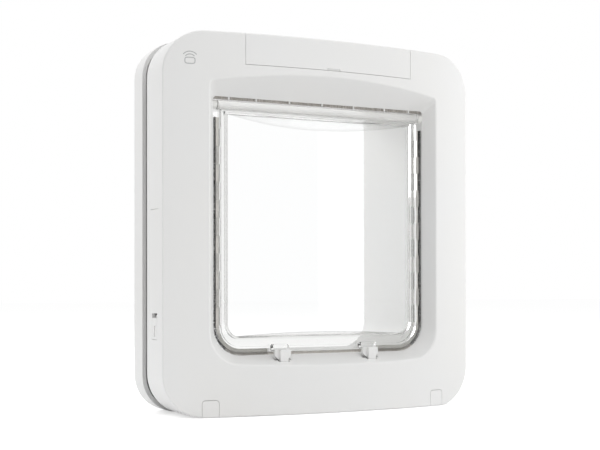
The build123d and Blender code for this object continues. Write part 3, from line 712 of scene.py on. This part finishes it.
def ribbon(path, closed):
    """Points, faces and tones of a stroke: the path moved to both sides by half the width, on the bow."""
    step = np.roll(path, -1, 0) - np.roll(path, 1, 0) if closed else np.gradient(path, axis=0)
    step = step / np.linalg.norm(step, axis=1, keepdims=True)
    beside = np.stack([-step[:, 1], step[:, 0]], 1)
    spread = np.array([-0.5, 0.0, 0.5]) * ink_width
    flat = (path[:, None, :] + spread[None, :, None] * beside[:, None, :]).reshape(-1, 2)
    points = np.column_stack([flat[:, 0], face_y(flat[:, 0]) - ink_proud, flat[:, 1]]) * mm
    number = np.arange(len(flat)).reshape(-1, 3)
    ahead = np.roll(number, -1, 0) if closed else number[1:]
    number = number if closed else number[:-1]
    quads = np.stack([number[:, :-1], ahead[:, :-1], ahead[:, 1:], number[:, 1:]], -1).reshape(-1, 4)
    return points, [quads], np.zeros(len(points))


print("radius of the bow:", round(bow_radius, 1), "mm")

# %% Strokes of the sign: a rounded box and two arcs
mark_x, mark_z = -111.6, 118.4
box_half_width, box_half_height = 3.6, 2.2
box_points = 64
wave_radii = (4.2, 6.2)
wave_lift = 0.4
wave_points = 25
angle = np.arange(box_points) * 2 * np.pi / box_points
box_path = np.stack([
    mark_x + box_half_width * np.sign(np.cos(angle)) * np.sqrt(np.abs(np.cos(angle))),
    mark_z + box_half_height * np.sign(np.sin(angle)) * np.sqrt(np.abs(np.sin(angle))),
], 1)
wave = np.linspace(math.radians(40), math.radians(140), wave_points)
strokes = [ribbon(box_path, True)]
for wave_radius in wave_radii:
    arc = np.stack([mark_x + wave_radius * np.cos(wave), mark_z + wave_lift + wave_radius * np.sin(wave)], 1)
    strokes.append(ribbon(arc, False))
print("strokes:", len(strokes))


# %% Ink
def grey_ink(name):
    """Pad-printed grey ink, a little thin in places."""
    material, pen, place = start_finish(name)
    cover = noise(pen, place, 3000.0)
    end_finish(pen, {
        "Base Color": blend_colours(pen, cover, (0.42, 0.42, 0.43, 1.0), (0.56, 0.56, 0.56, 1.0)),
        "Roughness": 0.5 + cover * 0.1,
    })
    return material


points, faces, tones = join(strokes)
mark = add_piece("printed_mark", points, faces, grey_ink("grey_ink"), "housing")
ink = mark.modifiers.new("ink", "SOLIDIFY")
ink.thickness = 2 * ink_proud * mm
ink.offset = -1.0

# %% [markdown]
# ## The scoop of the finger slot
# The battery cover is lifted by a fingertip in a slot at its lower edge. The slot isn't a dark hole: its
# floor is scooped, flush at the top and deepest at the edge, so it catches some light. A grid over the slot
# gives that surface, and Solidify gives it a wall.

# %% Finger scoop
cover_low, cover_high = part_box("battery_cover")
scoop_width = 11.0
scoop_height = 1.25
scoop_depth = 1.0
scoop_edge = 0.1
scoop_wall = 0.5
scoop_middle = float(cover_low[0] + cover_high[0]) / 2 / mm
scoop_foot = float(cover_low[2]) / mm


def scoop(columns, rows):
    """Points and faces of the slot's floor: at height share v its depth is edge + depth (1 - v)^2, in mm."""
    across, up = np.meshgrid(np.linspace(-0.5, 0.5, columns), np.linspace(0, 1, rows), indexing="ij")
    x = scoop_middle + scoop_width * across
    depth = scoop_edge + scoop_depth * (1 - up) ** 2
    points = np.stack([x, face_y(x) + depth, scoop_foot + scoop_height * up], -1) * mm
    number = np.arange(columns * rows).reshape(columns, rows)
    quads = np.stack([number[:-1, :-1], number[1:, :-1], number[1:, 1:], number[:-1, 1:]], -1)
    return points.reshape(-1, 3), [quads.reshape(-1, 4)]


points, faces = scoop(columns=25, rows=7)
finger_scoop = add_piece("finger_scoop", points, faces, white_gloss, "cover")
wall = finger_scoop.modifiers.new("wall", "SOLIDIFY")
wall.thickness = scoop_wall * mm
wall.offset = -1.0

# %% [markdown]
# ## Floor, light and background
# A pet door is sold on plain white, so the floor is pale and the background white. The white seen by the
# camera comes from the world's own colour, while the light that reaches the door stays at a plain level.
# Six soft lamps stand round the door. The one at the right makes the face brighter towards the right, the
# high and the low one light the recess, and the one on top lights the sill. The left one reaches into the
# gap between the frames, and the one behind lights the tunnel. Its beam is narrow, so that the floor seen
# through the flap stays even, and it is left out of reflections, so that the glossy side shows no patch.

# %% Floor
floor_z = float(cad_low[2])
floor_half = 6.0
floor_drop = 0.0002
floor_glow = 0.5
corners = np.array([[-1, -1, 0], [1, -1, 0], [1, 1, 0], [-1, 1, 0]]) * floor_half
floor_mesh = bpy.data.meshes.new("floor")
floor_mesh.from_pydata((corners + [0, 0, floor_z - floor_drop]).tolist(), [], [[0, 1, 2, 3]])
floor = bpy.data.objects.new("floor", floor_mesh)
bpy.context.scene.collection.objects.link(floor)


def straight_rays(pen):
    """1 for rays that the camera sends, straight, in a reflection or through the clear flap, and else 0."""
    kinds = ("Is Camera Ray", "Is Glossy Ray", "Is Transmission Ray")
    camera_ray, glossy_ray, clear_ray = (pen.node("ShaderNodeLightPath", out=kind) for kind in kinds)
    return camera_ray + glossy_ray + clear_ray > 0.5


def pale_floor(name):
    """Matt white floor that keeps the door's shadow and adds a little light of its own for the camera."""
    material, pen, _ = start_finish(name)
    seen_ray = straight_rays(pen)
    matt = pen.node("ShaderNodeBsdfDiffuse", None, {"Color": (0.9, 0.9, 0.9, 1.0)})
    own = pen.node("ShaderNodeEmission", None, {"Color": (1.0, 1.0, 1.0, 1.0), "Strength": floor_glow})
    lit = pen.node("ShaderNodeAddShader", None, {0: matt, 1: own})
    seen = pen.node("ShaderNodeMixShader", None, {0: seen_ray, 1: matt, 2: lit})
    pen.node("ShaderNodeOutputMaterial", None, {"Surface": seen})
    return material


floor_mesh.materials.append(pale_floor("pale_floor"))
print("floor at", round(floor_z, 4))

# %% World
world = bpy.data.worlds.new("white_room")
bpy.context.scene.world = world
world.use_nodes = True
world.node_tree.nodes.clear()
pen = Wire(world.node_tree)
seen = straight_rays(pen)
room_level = 0.54
room = pen.node("ShaderNodeBackground", None, {"Color": (1.0, 1.0, 1.0, 1.0),
                                               "Strength": room_level + seen * (1.0 - room_level)})
pen.node("ShaderNodeOutputWorld", None, {"Surface": room})
bpy.context.scene.view_settings.view_transform = "Standard"
print("light of the room:", room_level)


# %% Lamps
def soft_lamp(name, place, size, power, beam=math.pi):
    """A square area lamp at place, facing the door's middle; beam is the whole angle that its light fills."""
    data = bpy.data.lights.new(name, "AREA")
    data.size = size
    data.energy = power
    data.spread = beam
    lamp = bpy.data.objects.new(name, data)
    turn_to = (-Vector(place)).to_track_quat("-Z", "Y").to_matrix().to_4x4()
    lamp.matrix_world = Matrix.Translation(place) @ turn_to
    bpy.context.scene.collection.objects.link(lamp)
    return lamp


soft_lamp("right", (1.7, -0.4, 0.3), 1.0, 6.9)
soft_lamp("high", (0.3, -1.1, 1.2), 0.8, 4.4)
soft_lamp("low", (0.3, -1.5, 0.1), 0.8, 1.1)
soft_lamp("top", (0.1, -0.2, 1.7), 1.5, 7.0)
soft_lamp("left", (-1.6, 0.05, 0.2), 0.8, 0.5)
rear = soft_lamp("rear", (-0.45, 1.0, 0.45), 0.7, 1.7, math.pi / 2)
rear.visible_glossy = False
